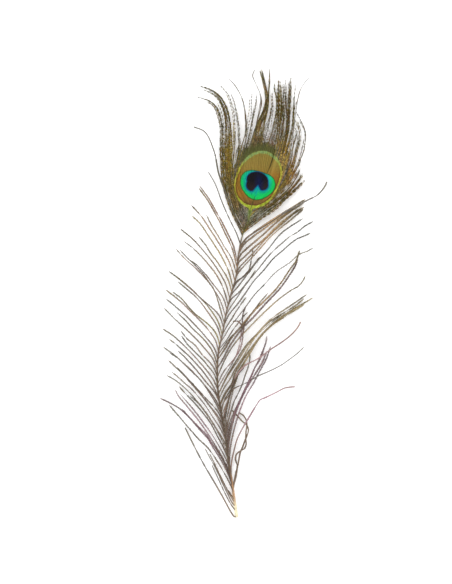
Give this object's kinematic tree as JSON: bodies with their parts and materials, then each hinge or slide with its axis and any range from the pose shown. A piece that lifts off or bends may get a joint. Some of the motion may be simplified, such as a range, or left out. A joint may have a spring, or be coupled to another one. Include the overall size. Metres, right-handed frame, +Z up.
{
  "type": "peacock feather",
  "caption": "Loose peacock tail feather lying flat: slim bowed shaft, egg-shaped eye, long open barbs down both sides and a plume past the eye.",
  "frame": {"origin": "centre of the feather's footprint, on the surface it lies on", "axes": "+Y from the quill to the plume, +Z up off the surface, +X to the right seen from above with the plume away from the viewer"},
  "size_m": [0.1112, 0.2991, 0.0077],
  "materials": {
    "feather": "horny quill and shaft with dry olive and bronze barbs, and a metallic blue, green and bronze eye"
  },
  "bodies": {
    "root": {"feather": "feather"}
  },
  "joints": []
}
